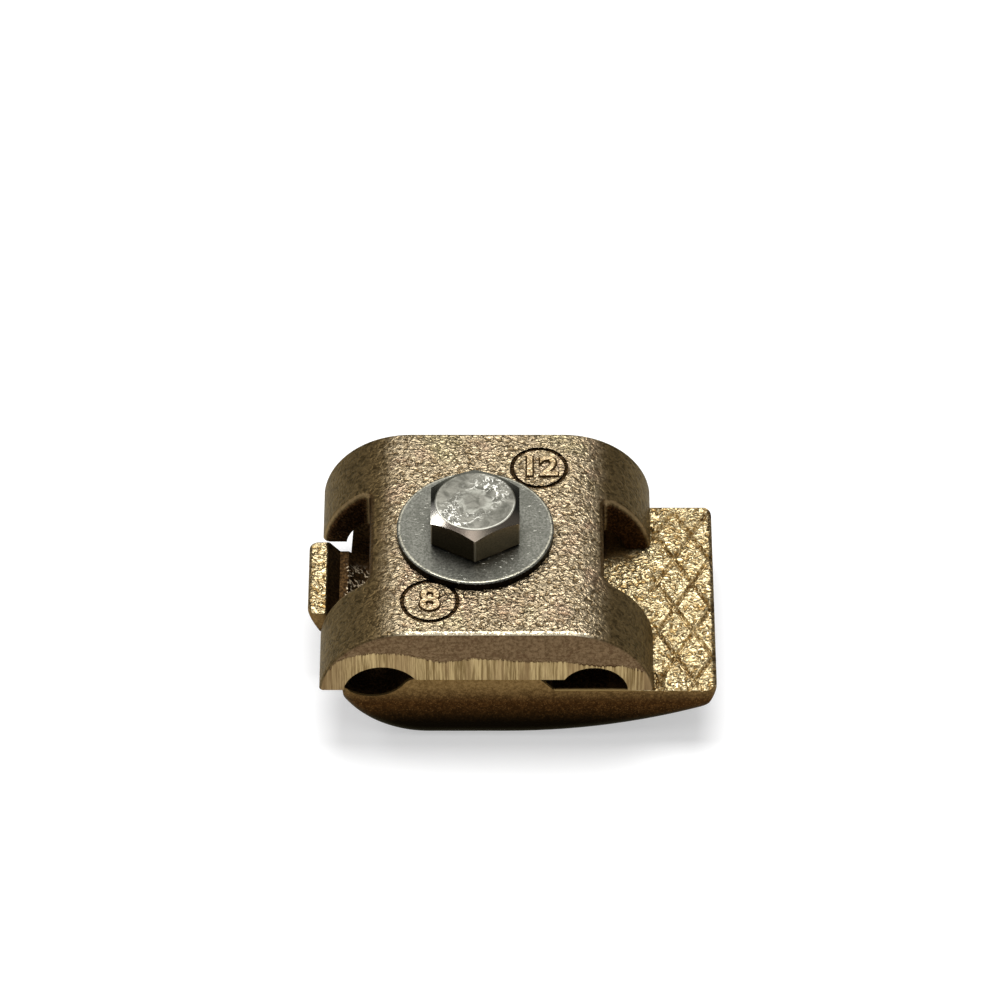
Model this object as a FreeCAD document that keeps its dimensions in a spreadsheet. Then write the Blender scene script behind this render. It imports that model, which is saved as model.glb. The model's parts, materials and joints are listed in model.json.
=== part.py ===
import FreeCAD, Part
import math
import os
import re
import Sketcher

# Beam bonding clamp: two bronze castings drawn together by one hex bolt with a flat washer.
# X runs from the cable groove (left) to the grip wing (right), Y from front to rear, Z up.
# The origin lies on the bolt axis, in the plane of the flat foot under the lower jaw.

SIZES = {
    # Heights of the castings
    "PartingHeight": 13.8,
    "CapRise": 10.5,
    # Upper jaw seen from the front
    "CapCentre": 1.85,
    "CapFlatHalf": 12.5,
    "ShoulderRadius": 14.5,
    "CapFront": 22.5,
    "CapRear": 23.4,
    "LegGap": 0.2,
    "CapRimRound": 0.7,
    # Cable arch at the left and flange arch at the right of the upper jaw
    "CableArchX": -14.9,
    "CableArchRise": 2.9,
    "CableArchRadius": 6.4,
    "FlangeArchX": 19.1,
    "FlangeArchRise": 2.75,
    "FlangeArchRadius": 5.5,
    # Notches in the sides of the upper jaw
    "WaistHalf": 18.95,
    "LeftNotchShift": 1.08,
    "RightNotchShift": 0.28,
    "RightNotchHalf": 9.13,
    "NotchCorner": 1.5,
    "NotchRimRound": 1.2,
    # Cast ring grooves in the cap's top, one behind the bolt and one before it
    "RingOuterDiameter": 9.6,
    "RingWidth": 0.7,
    "RingDepth": 0.3,
    "RearRingMargin": 8.2,
    "FrontRingMargin": 7.4,
    "RearRingX": 8.55,
    "FrontRingX": -9.1,
    # Lower jaw seen from the front
    "JawFront": 22.3,
    "JawRear": 19.35,
    "GrooveShift": 1.7,
    "GrooveDepth": 4.05,
    "GrooveRadius": 6.2,
    "GrooveBlend": 2.5,
    "LipReach": 1.0,
    "LipGap": 0.2,
    "LipThickness": 4.0,
    "LipDraft": 0.7,
    "LipSkew": 1.5,
    "LandEnd": 10.3,
    "LandSlopeRun": 2.3,
    "WingDrop": 2.6,
    "WingEnd": 38.9,
    "TipThickness": 1.0,
    "TipRun": 5.9,
    "TipUndercut": 0.15,
    "TipRadius": 10.5,
    "UndersideRun": 33.9,
    "UndersideDrop": 7.1,
    "BellyRadius": 16.0,
    "BellyRimRound": 2.6,
    "BellyRimShare": 0.7,
    "WingCorner": 2.0,
    # Lug that stands in the left notch, and the web that carries it
    "LugHalf": 8.2,
    "LugShift": 0.6,
    "LugInner": 24.2,
    "LugWidth": 3.0,
    "LugEdge": 0.6,
    "LugTaperRun": 1.9,
    "LugTaperDepth": 4.2,
    "LugSlopeRun": 2.0,
    "LugClearance": 1.73,
    "LugCorner": 1.5,
    "LugRound": 0.5,
    "WebDrop": 2.4,
    "WebRootX": 15.0,
    "WebRootDepth": 9.6,
    # Diamond grooves in the grip pad
    "GripNodeX": 35.4,
    "GripNodeY": -9.3,
    "GripPitchX": 5.8,
    "GripPitchY": 11.0,
    "GripInner": 28.5,
    "GripRearMargin": 1.2,
    "GripWidth": 0.9,
    "GripDepth": 0.42,
    "GripFlare": 40.0,
    "WingRimRound": 0.4,
    # Hex bolt and flat washer
    "ShankDiameter": 9.4,
    "BoltLength": 25.4,
    "BoltTipChamfer": 1.0,
    "HeadFlats": 14.29,
    "HeadHeight": 5.95,
    "HeadTopDiameter": 12.7,
    "HeadChamferAngle": 30.0,
    "SeatFaceDiameter": 13.9,
    "SeatFaceHeight": 0.35,
    "WasherDiameter": 25.4,
    "WasherThickness": 1.6,
    "WasherRound": 0.35,
    "WasherHoleClearance": 0.8,
    "CapHoleClearance": 0.55,
    "ThreadClearance": 0.05,
}

GRIP_LINES = range(-3, 3)
OVERSHOOT = 30.0
CUT_MARGIN = 1.0
TOUCH = 0.01
VOLUME_NOISE = 1e-6

document = FreeCAD.newDocument("beam_bonding_clamp")
sheet = document.addObject("Spreadsheet::Sheet", "Sizes")
for row, (alias, size) in enumerate(SIZES.items(), start=1):
    sheet.set(f"A{row}", alias)
    sheet.set(f"B{row}", str(size))
    sheet.setAlias(f"B{row}", alias)
document.recompute()


def named(expression):
    """The same expression with every capitalised word read from the sheet."""
    return re.sub(r"\b[A-Z]\w*", r"Sizes.\g<0>", expression)


def measure(expression):
    """The number that an expression gives with the present sizes."""
    return float(sheet.evalExpression(named(expression)))


# Heights that several pieces share
PARTING = "PartingHeight"
CAP_TOP = "(PartingHeight + CapRise)"
WING_TOP = "(PartingHeight - WingDrop)"
LEG_FOOT = "(PartingHeight - WingDrop + LegGap)"
BOLT_SEAT = "(PartingHeight + CapRise + WasherThickness)"


def new_body(label):
    body = document.addObject("PartDesign::Body", label)
    body.Label = label
    return body


def new_sketch(body, name, role, offset="0"):
    """A sketch on one of the body's own origin planes, moved along the plane's normal."""
    sketch = body.newObject("Sketcher::SketchObject", name)
    plane = [item for item in body.Origin.OriginFeatures if item.Role == role][0]
    sketch.AttachmentSupport = [(plane, "")]
    sketch.MapMode = "FlatFace"
    if offset != "0":
        sketch.setExpression("AttachmentOffset.Base.z", named(offset))
    document.recompute()
    return sketch


def dimension(sketch, kind, references, expression):
    index = sketch.addConstraint(Sketcher.Constraint(kind, *references, measure(expression)))
    sketch.setExpression(f"Constraints[{index}]", named(expression))


def place_point(sketch, geometry, position, across, up):
    """Ties a point of the geometry to the sketch origin, along both axes."""
    if across == "0":
        sketch.addConstraint(Sketcher.Constraint("PointOnObject", geometry, position, -2))
    else:
        dimension(sketch, "DistanceX", (-1, 1, geometry, position), across)
    if up == "0":
        sketch.addConstraint(Sketcher.Constraint("PointOnObject", geometry, position, -1))
    else:
        dimension(sketch, "DistanceY", (-1, 1, geometry, position), up)


def arc_between(start, end, radius, turn):
    """An arc from start to end, shorter than a half circle, turning left or right."""
    chord = end - start
    middle = (start + end) * 0.5
    reach = math.sqrt(max(radius**2 - chord.Length**2 / 4, 0.0))
    left = FreeCAD.Vector(-chord.y, chord.x, 0).normalize()
    centre = middle + left * (reach if turn == "left" else -reach)
    first, last = (start, end) if turn == "left" else (end, start)
    start_angle = math.atan2(first.y - centre.y, first.x - centre.x)
    end_angle = math.atan2(last.y - centre.y, last.x - centre.x)
    circle = Part.Circle(centre, FreeCAD.Vector(0, 0, 1), radius)
    return Part.ArcOfCircle(circle, start_angle, end_angle)


def outline(sketch, corners, arcs=None):
    """A closed outline through corners given as expressions. arcs maps a corner's number to the
    radius and turn of the arc that leaves it; the other sides are straight."""
    arcs = arcs or {}
    points = [FreeCAD.Vector(measure(across), measure(up), 0) for across, up in corners]
    first_geometry = sketch.GeometryCount
    ends = []
    for number, start in enumerate(points):
        end = points[(number + 1) % len(points)]
        if number in arcs:
            radius, turn = arcs[number]
            geometry = sketch.addGeometry(arc_between(start, end, measure(radius), turn))
            ends.append((1, 2) if turn == "left" else (2, 1))
        else:
            geometry = sketch.addGeometry(Part.LineSegment(start, end))
            ends.append((1, 2))
    for number, (across, up) in enumerate(corners):
        geometry = first_geometry + number
        following = (number + 1) % len(corners)
        sketch.addConstraint(Sketcher.Constraint(
            "Coincident", geometry, ends[number][1], first_geometry + following, ends[following][0]))
        place_point(sketch, geometry, ends[number][0], across, up)
    for number, (radius, turn) in arcs.items():
        dimension(sketch, "Radius", (first_geometry + number,), radius)


def circle(sketch, diameter, across="0", up="0"):
    centre = FreeCAD.Vector(measure(across), measure(up), 0)
    geometry = sketch.addGeometry(Part.Circle(centre, FreeCAD.Vector(0, 0, 1), measure(diameter) / 2))
    place_point(sketch, geometry, 3, across, up)
    dimension(sketch, "Diameter", (geometry,), diameter)


def pad(body, name, sketch, length, both_ways=False):
    feature = body.newObject("PartDesign::Pad", name)
    feature.Profile = sketch
    feature.Midplane = both_ways
    feature.setExpression("Length", named(length))
    document.recompute()
    return feature


def pocket_through(body, name, sketch):
    """Cuts the sketch out of the body through its whole height."""
    before = body.Shape.Volume
    feature = body.newObject("PartDesign::Pocket", name)
    feature.Profile = sketch
    feature.Type = "ThroughAll"
    feature.Midplane = True
    document.recompute()
    check_cut(name, before, body.Shape.Volume)
    return feature


def pocket_down(body, name, sketch, depth, flare="0"):
    """Cuts the sketch down to a depth, its walls leaning inwards by the flare."""
    before = body.Shape.Volume
    feature = body.newObject("PartDesign::Pocket", name)
    feature.Profile = sketch
    feature.setExpression("Length", named(depth))
    feature.setExpression("TaperAngle", named(f"-{flare}"))
    document.recompute()
    check_cut(name, before, body.Shape.Volume)
    return feature


def check_cut(name, before, after):
    if after > before - VOLUME_NOISE:
        raise RuntimeError(f"{name} cuts nothing")


def revolve(body, kind, name, sketch):
    feature = body.newObject(kind, name)
    feature.Profile = sketch
    feature.ReferenceAxis = (sketch, ["V_Axis"])
    feature.Angle = 360
    document.recompute()
    return feature


def edges_where(shape, test):
    return [f"Edge{number}" for number, edge in enumerate(shape.Edges, start=1) if test(edge)]


def round_edges(body, name, test, radius):
    base = body.Tip
    feature = body.newObject("PartDesign::Fillet", name)
    feature.Base = (base, edges_where(base.Shape, test))
    feature.setExpression("Radius", named(radius))
    document.recompute()
    return feature


def near(value, target):
    return abs(value - target) < TOUCH


def edge_in_plane(edge, axis, value):
    """True where the whole edge lies in the plane across the axis at that value."""
    box = edge.BoundBox
    low = getattr(box, axis + "Min")
    high = getattr(box, axis + "Max")
    return near(low, value) and near(high, value)


# Upper jaw: one casting, its front outline drawn along the whole depth
LEG_REACH = "sqrt(ShoulderRadius^2 - (ShoulderRadius - CapRise - WingDrop + LegGap)^2)"


def arch_half_width(arch, drop):
    """Half the width of an arch at a depth below the parting plane."""
    return f"sqrt({arch}Radius^2 - ({arch}Radius - {arch}Rise - ({drop}))^2)"


def upper_jaw():
    body = new_body("upper_jaw")
    leg_drop = "WingDrop - LegGap"
    front = new_sketch(body, "CapOutline", "XZ_Plane", "(CapFront - CapRear) / 2")
    outline(front, [
        ("CapCentre - CapFlatHalf", CAP_TOP),
        (f"CapCentre - CapFlatHalf - {LEG_REACH}", LEG_FOOT),
        (f"CableArchX - {arch_half_width('CableArch', leg_drop)}", LEG_FOOT),
        (f"CableArchX + {arch_half_width('CableArch', '0')}", PARTING),
        (f"FlangeArchX - {arch_half_width('FlangeArch', '0')}", PARTING),
        (f"FlangeArchX + {arch_half_width('FlangeArch', leg_drop)}", LEG_FOOT),
        (f"CapCentre + CapFlatHalf + {LEG_REACH}", LEG_FOOT),
        ("CapCentre + CapFlatHalf", CAP_TOP),
    ], {
        0: ("ShoulderRadius", "left"),
        2: ("CableArchRadius", "right"),
        4: ("FlangeArchRadius", "right"),
        6: ("ShoulderRadius", "left"),
    })
    pad(body, "Cap", front, "CapFront + CapRear", both_ways=True)

    cap_front = -measure("CapFront")
    cap_rear = measure("CapRear")
    cap_top = measure(CAP_TOP)
    shoulder_radius = measure("ShoulderRadius")

    def on_rim(edge):
        on_end = edge_in_plane(edge, "Y", cap_front) or edge_in_plane(edge, "Y", cap_rear)
        is_shoulder = near(getattr(edge.Curve, "Radius", 0), shoulder_radius)
        return on_end and (is_shoulder or near(edge.BoundBox.ZMin, cap_top))

    round_edges(body, "CapRim", on_rim, "CapRimRound")

    notches = (("-", "left", "LeftNotchShift", "(LugHalf + LugClearance)"),
               ("+", "right", "RightNotchShift", "RightNotchHalf"))
    plan = new_sketch(body, "NotchPlan", "XY_Plane")
    for side, turn, shift, half in notches:
        waist = f"(CapCentre {side} WaistHalf)"
        outside = f"{waist} {side} {OVERSHOOT}"
        corner_start = f"{waist} {side} NotchCorner"
        outline(plan, [
            (outside, f"{shift} - {half}"),
            (corner_start, f"{shift} - {half}"),
            (waist, f"{shift} - {half} + NotchCorner"),
            (waist, f"{shift} + {half} - NotchCorner"),
            (corner_start, f"{shift} + {half}"),
            (outside, f"{shift} + {half}"),
        ], {1: ("NotchCorner", turn), 3: ("NotchCorner", turn)})
    pocket_through(body, "Notches", plan)

    def on_notch_rim(edge):
        """True where the whole edge lies in a shoulder's surface and inside its notch."""
        for side, _, shift, half in notches:
            axis_x = measure(f"CapCentre {side} CapFlatHalf")
            axis_z = cap_top - shoulder_radius
            points = edge.discretize(3)
            inside = all(abs(point.y - measure(shift)) < measure(half) + TOUCH for point in points)
            on_shoulder = all(near(math.hypot(point.x - axis_x, point.z - axis_z), shoulder_radius)
                              for point in points)
            if inside and on_shoulder:
                return True
        return False

    round_edges(body, "NotchRims", on_notch_rim, "NotchRimRound")

    rings = new_sketch(body, "RingPlan", "XY_Plane", CAP_TOP)
    for offset, up in (("RearRingX", "CapRear - RearRingMargin"),
                       ("FrontRingX", "FrontRingMargin - CapFront")):
        across = f"CapCentre + {offset}"
        circle(rings, "RingOuterDiameter", across, up)
        circle(rings, "RingOuterDiameter - 2 * RingWidth", across, up)
    pocket_down(body, "Rings", rings, "RingDepth")

    hole = new_sketch(body, "BoltHolePlan", "XY_Plane")
    circle(hole, "ShankDiameter + 2 * CapHoleClearance")
    pocket_through(body, "BoltHole", hole)
    return body


# Lower jaw: the outline of groove, land, wing and belly drawn along its depth, then the lug
def groove_x():
    return "(CableArchX - GrooveShift)"


def groove_half_width(drop):
    """Half the width of the cable groove at a depth below the parting plane."""
    return f"sqrt(GrooveRadius^2 - (GrooveRadius - GrooveDepth + ({drop}))^2)"


def lower_jaw():
    body = new_body("lower_jaw")
    lip_drop = "(WingDrop - LegGap + LipGap)"
    groove_left = f"({groove_x()} - {groove_half_width(lip_drop)})"
    lip_end = f"({groove_left} - LipReach)"
    blend_share = "GrooveRadius / (GrooveRadius + GrooveBlend)"
    blend_rise = "(GrooveRadius - GrooveDepth + GrooveBlend)"
    blend_run = f"sqrt((GrooveRadius + GrooveBlend)^2 - {blend_rise}^2)"
    lip_under = f"(PartingHeight - {lip_drop} - LipThickness)"
    belly_run = f"sqrt(2 * BellyRadius * {lip_under} - {lip_under}^2)"
    underside_rise = "(PartingHeight - UndersideDrop)"
    underside_radius = f"((UndersideRun^2 + {underside_rise}^2) / (2 * {underside_rise}))"
    front = new_sketch(body, "JawOutline", "XZ_Plane", "(JawFront - JawRear) / 2")
    outline(front, [
        (f"{groove_x()} + {blend_run}", PARTING),
        ("LandEnd", PARTING),
        ("LandEnd + LandSlopeRun", WING_TOP),
        ("WingEnd", WING_TOP),
        ("WingEnd", underside_rise),
        ("WingEnd - UndersideRun", "0"),
        (f"{lip_end} + LipDraft + {belly_run}", "0"),
        (f"{lip_end} + LipDraft", lip_under),
        (lip_end, f"PartingHeight - {lip_drop}"),
        (groove_left, f"PartingHeight - {lip_drop}"),
        (f"{groove_x()} + {blend_share} * {blend_run}",
         f"PartingHeight + GrooveRadius - GrooveDepth - {blend_share} * {blend_rise}"),
    ], {
        4: (underside_radius, "right"),
        6: ("BellyRadius", "right"),
        9: ("GrooveRadius", "left"),
        10: ("GrooveBlend", "right"),
    })
    pad(body, "Jaw", front, "JawFront + JawRear", both_ways=True)

    wing_top = measure(WING_TOP)
    slope_end = measure("LandEnd + LandSlopeRun")

    def on_wing_rim(edge):
        level = near(edge.BoundBox.ZMin, wing_top) and near(edge.BoundBox.ZMax, wing_top)
        return level and edge.CenterOfGravity.x > slope_end + CUT_MARGIN

    round_edges(body, "WingRim", on_wing_rim, "WingRimRound")

    front_face = -measure("JawFront")
    rear_face = measure("JawRear")

    def under_rim(edge):
        on_end = edge_in_plane(edge, "Y", front_face) or edge_in_plane(edge, "Y", rear_face)
        return on_end and edge.BoundBox.ZMin < TOUCH

    # The round is never wider than its share of the lip's wall
    round_edges(body, "BellyRims", under_rim, "min(BellyRimRound; BellyRimShare * LipThickness)")

    tip = new_sketch(body, "TipOutline", "XZ_Plane")
    tip_under = f"({underside_radius} - sqrt({underside_radius}^2 - (UndersideRun - TipRun)^2))"
    outline(tip, [
        (f"WingEnd + {OVERSHOOT}", f"{WING_TOP} - TipThickness"),
        ("WingEnd", f"{WING_TOP} - TipThickness"),
        ("WingEnd - TipRun", f"{tip_under} - TipUndercut"),
        ("WingEnd - TipRun", f"-{OVERSHOOT}"),
        (f"WingEnd + {OVERSHOOT}", f"-{OVERSHOOT}"),
    ], {1: ("TipRadius", "right")})
    pocket_through(body, "Tip", tip)

    plan = new_sketch(body, "JawPlan", "XY_Plane")
    outline(plan, [
        (f"{lip_end} - {OVERSHOOT}", f"-JawFront - {OVERSHOOT}"),
        (f"WingEnd + {OVERSHOOT}", f"-JawFront - {OVERSHOOT}"),
        (f"WingEnd + {OVERSHOOT}", f"JawRear + {OVERSHOOT}"),
        (f"{lip_end} - {OVERSHOOT}", f"JawRear + {OVERSHOOT}"),
    ])
    outline(plan, [
        (lip_end, "-JawFront + WingCorner"),
        (f"{lip_end} + WingCorner", "-JawFront"),
        ("WingEnd - WingCorner", "-JawFront"),
        ("WingEnd", "-JawFront + WingCorner"),
        ("WingEnd", "JawRear - WingCorner"),
        ("WingEnd - WingCorner", "JawRear"),
        (f"{lip_end} + LipSkew + WingCorner", "JawRear"),
        (f"{lip_end} + LipSkew", "JawRear - WingCorner"),
    ], {number: ("WingCorner", "left") for number in (0, 2, 4, 6)})
    pocket_through(body, "PlanCorners", plan)

    add_lug(body)
    cut_grip(body)

    hole = new_sketch(body, "TappedHolePlan", "XY_Plane")
    circle(hole, "ShankDiameter + 2 * ThreadClearance")
    pocket_through(body, "TappedHole", hole)
    return body


def add_lug(body):
    side = new_sketch(body, "LugOutline", "XZ_Plane", "-LugShift")
    outline(side, [
        ("-LugInner", PARTING),
        ("-LugInner - LugWidth", PARTING),
        ("-LugInner - LugWidth", "PartingHeight - LugEdge"),
        ("-LugInner - LugWidth + LugTaperRun", "PartingHeight - LugTaperDepth"),
        ("-WebRootX", "PartingHeight - WebRootDepth"),
        (groove_x(), "PartingHeight - GrooveDepth"),
        (f"{groove_x()} - {groove_half_width('WebDrop')}", "PartingHeight - WebDrop"),
        ("-LugInner + LugSlopeRun", "PartingHeight - WebDrop"),
    ], {5: ("GrooveRadius", "right")})
    pad(body, "Lug", side, "2 * LugHalf", both_ways=True)

    plan = new_sketch(body, "LugPlan", "XY_Plane")
    lug_outer = "(-LugInner - LugWidth)"
    for end, turn in (("(LugShift - LugHalf)", "left"), ("(LugShift + LugHalf)", "right")):
        outward = "-" if turn == "left" else "+"
        inward = "+" if turn == "left" else "-"
        outline(plan, [
            (lug_outer, f"{end} {inward} LugCorner"),
            (f"{lug_outer} + LugCorner", end),
            (f"{lug_outer} + LugCorner", f"{end} {outward} {CUT_MARGIN}"),
            (f"{lug_outer} - {CUT_MARGIN}", f"{end} {outward} {CUT_MARGIN}"),
            (f"{lug_outer} - {CUT_MARGIN}", f"{end} {inward} LugCorner"),
        ], {0: ("LugCorner", turn)})
    pocket_through(body, "LugCorners", plan)

    outer = -measure("LugInner + LugWidth")
    top = measure(PARTING)

    def on_lug_top(edge):
        box = edge.BoundBox
        on_top = near(box.ZMin, top) and near(box.ZMax, top)
        return on_top and box.XMax < outer + measure("LugWidth") + TOUCH

    round_edges(body, "LugRims", on_lug_top, "LugRound")


def cut_grip(body):
    """Two families of slanting grooves cross in the top of the wing and leave diamonds."""
    steepness = "(GripPitchY / GripPitchX)"
    half_width = "(GripWidth / 2 * sqrt(1 + (GripPitchX / GripPitchY)^2))"
    front_end = f"(-JawFront - {CUT_MARGIN})"
    rear_end = "(JawRear - GripRearMargin)"
    for name, lean in (("RightLeaning", "1"), ("LeftLeaning", "-1")):
        plan = new_sketch(body, f"{name}Plan", "XY_Plane", WING_TOP)
        for line in GRIP_LINES:
            crossing = f"(GripNodeX + {lean} * {line} * GripPitchX)"
            at_inner = f"(GripNodeY + {lean} * (GripInner - {crossing}) * {steepness})"
            at_outer = f"(GripNodeY + {lean} * (WingEnd + {CUT_MARGIN} - {crossing}) * {steepness})"
            low, high = (at_inner, at_outer) if lean == "1" else (at_outer, at_inner)
            start = f"max({front_end}; {low})"
            end = f"min({rear_end}; {high})"
            if measure(end) - measure(start) < measure("GripWidth"):
                continue
            start_x = f"({crossing} + {lean} * ({start} - GripNodeY) / {steepness})"
            end_x = f"({crossing} + {lean} * ({end} - GripNodeY) / {steepness})"
            outline(plan, [
                (f"{start_x} - {half_width}", start),
                (f"{start_x} + {half_width}", start),
                (f"{end_x} + {half_width}", end),
                (f"{end_x} - {half_width}", end),
            ])
        pocket_down(body, f"{name}Grooves", plan, "GripDepth", "GripFlare")


# Hex bolt: turned shank and seat face, then the hexagon with its top corners turned off
def hex_bolt():
    body = new_body("hex_bolt")
    bottom = f"({BOLT_SEAT} - BoltLength)"
    head_top = f"({BOLT_SEAT} + HeadHeight)"
    side = new_sketch(body, "ShankOutline", "XZ_Plane")
    outline(side, [
        ("0", bottom),
        ("ShankDiameter / 2 - BoltTipChamfer", bottom),
        ("ShankDiameter / 2", f"{bottom} + BoltTipChamfer"),
        ("ShankDiameter / 2", BOLT_SEAT),
        ("SeatFaceDiameter / 2", BOLT_SEAT),
        ("SeatFaceDiameter / 2", f"{BOLT_SEAT} + SeatFaceHeight"),
        ("0", f"{BOLT_SEAT} + SeatFaceHeight"),
    ])
    revolve(body, "PartDesign::Revolution", "Shank", side)

    plan = new_sketch(body, "HeadPlan", "XY_Plane", f"{BOLT_SEAT} + SeatFaceHeight")
    outline(plan, [
        ("0", "-HeadFlats / sqrt(3)"),
        ("HeadFlats / 2", "-HeadFlats / sqrt(12)"),
        ("HeadFlats / 2", "HeadFlats / sqrt(12)"),
        ("0", "HeadFlats / sqrt(3)"),
        ("-HeadFlats / 2", "HeadFlats / sqrt(12)"),
        ("-HeadFlats / 2", "-HeadFlats / sqrt(12)"),
    ])
    pad(body, "Head", plan, "HeadHeight - SeatFaceHeight")

    chamfer_reach = f"(HeadFlats / sqrt(3) + {CUT_MARGIN})"
    chamfer = new_sketch(body, "HeadChamferOutline", "XZ_Plane")
    outline(chamfer, [
        ("HeadTopDiameter / 2", head_top),
        (chamfer_reach, f"{head_top} - ({chamfer_reach} - HeadTopDiameter / 2) * tan(HeadChamferAngle)"),
        (chamfer_reach, f"{head_top} + {CUT_MARGIN}"),
        ("HeadTopDiameter / 2", f"{head_top} + {CUT_MARGIN}"),
    ])
    before = body.Shape.Volume
    revolve(body, "PartDesign::Groove", "HeadChamfer", chamfer)
    check_cut("HeadChamfer", before, body.Shape.Volume)
    return body


# Flat washer: a punched ring with its upper outer edge rolled over
def flat_washer():
    body = new_body("flat_washer")
    plan = new_sketch(body, "WasherPlan", "XY_Plane", CAP_TOP)
    circle(plan, "WasherDiameter")
    circle(plan, "ShankDiameter + 2 * WasherHoleClearance")
    pad(body, "Washer", plan, "WasherThickness")
    top = measure(BOLT_SEAT)
    outer = measure("WasherDiameter")

    def on_outer_top(edge):
        return edge_in_plane(edge, "Z", top) and near(edge.BoundBox.XLength, outer)

    round_edges(body, "WasherRim", on_outer_top, "WasherRound")
    return body


pieces = [upper_jaw(), lower_jaw(), hex_bolt(), flat_washer()]
document.recompute()

for item in document.Objects:
    if "Invalid" in item.State or "Error" in item.State:
        raise RuntimeError(f"{item.Name} failed: {item.State}")
for piece in pieces:
    if piece.Shape.isNull() or not piece.Shape.isValid():
        raise RuntimeError(f"{piece.Label} has no valid shape")

os.makedirs("parts", exist_ok=True)
for piece in pieces:
    piece.Shape.exportStep(os.path.join("parts", piece.Label + ".step"))
    box = piece.Shape.BoundBox
    print(piece.Label, len(piece.Shape.Solids), "solid", round(piece.Shape.Volume, 1), "mm3",
          [round(value, 2) for value in (box.XMin, box.XMax, box.YMin, box.YMax, box.ZMin, box.ZMax)])
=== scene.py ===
import json
import math

import bpy
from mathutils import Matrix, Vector


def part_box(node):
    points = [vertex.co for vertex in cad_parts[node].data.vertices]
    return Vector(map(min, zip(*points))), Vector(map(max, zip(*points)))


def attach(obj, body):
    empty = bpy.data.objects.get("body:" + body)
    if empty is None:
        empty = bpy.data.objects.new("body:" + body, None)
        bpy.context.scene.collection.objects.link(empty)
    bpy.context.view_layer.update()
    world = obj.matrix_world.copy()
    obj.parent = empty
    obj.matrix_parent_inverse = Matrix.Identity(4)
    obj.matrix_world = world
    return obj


# Beam bonding clamp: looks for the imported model, in the row frame. Lamps, floor and camera are in metres.
# All other sizes and places are in millimetres.

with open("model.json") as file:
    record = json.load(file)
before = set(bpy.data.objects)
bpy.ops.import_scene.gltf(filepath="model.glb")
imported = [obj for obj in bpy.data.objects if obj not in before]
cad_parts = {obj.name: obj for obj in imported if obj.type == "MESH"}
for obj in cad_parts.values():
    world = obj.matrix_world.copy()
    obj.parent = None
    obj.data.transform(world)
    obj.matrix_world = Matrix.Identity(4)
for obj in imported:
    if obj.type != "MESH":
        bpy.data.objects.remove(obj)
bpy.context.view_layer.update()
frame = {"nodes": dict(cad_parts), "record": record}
nodes = frame["nodes"]
mounts = {mount["name"]: mount for mount in frame["record"]["mounts"]}

MM = 0.001


def millimetres(metres):
    return round(metres / MM, 2)


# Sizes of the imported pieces
cap_low, cap_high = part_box("upper_jaw")
jaw_low, jaw_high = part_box("lower_jaw")
washer_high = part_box("flat_washer")[1]
bolt_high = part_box("hex_bolt")[1]
CAP_CENTRE = millimetres((cap_low.x + cap_high.x) / 2)
CAP_FRONT = millimetres(cap_low.y)
CAP_REAR = millimetres(cap_high.y)
CAP_TOP = millimetres(cap_high.z)
LUG_OUTER = millimetres(jaw_low.x)
WING_END = millimetres(jaw_high.x)
WING_TOP = millimetres(mounts["grip_pad"]["pos_m"][2])
JAW_FRONT = millimetres(jaw_low.y)
JAW_REAR = millimetres(jaw_high.y)
PARTING = millimetres(jaw_high.z)
WASHER_RADIUS = millimetres(washer_high.x)
WASHER_TOP = millimetres(washer_high.z)
HEAD_CORNER = millimetres(bolt_high.y)
HEAD_TOP = millimetres(bolt_high.z)

# Sizes of the part's source that no box shows
WAIST_HALF = 18.95
LUG_INNER = -24.2
REAR_RING = (CAP_CENTRE + 8.55, CAP_REAR - 8.2)
FRONT_RING = (CAP_CENTRE - 9.1, CAP_FRONT + 7.4)
RING_RADIUS = 4.45
RING_HALF_WIDTH = 0.35
THREAD_PITCH = 1.5875

# Tints of the metals where they are seen at a flat angle
BRONZE_EDGE = (0.72, 0.69, 0.6)
STEEL_EDGE = (0.6, 0.6, 0.56)

CURVE_RANGE = 30


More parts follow.
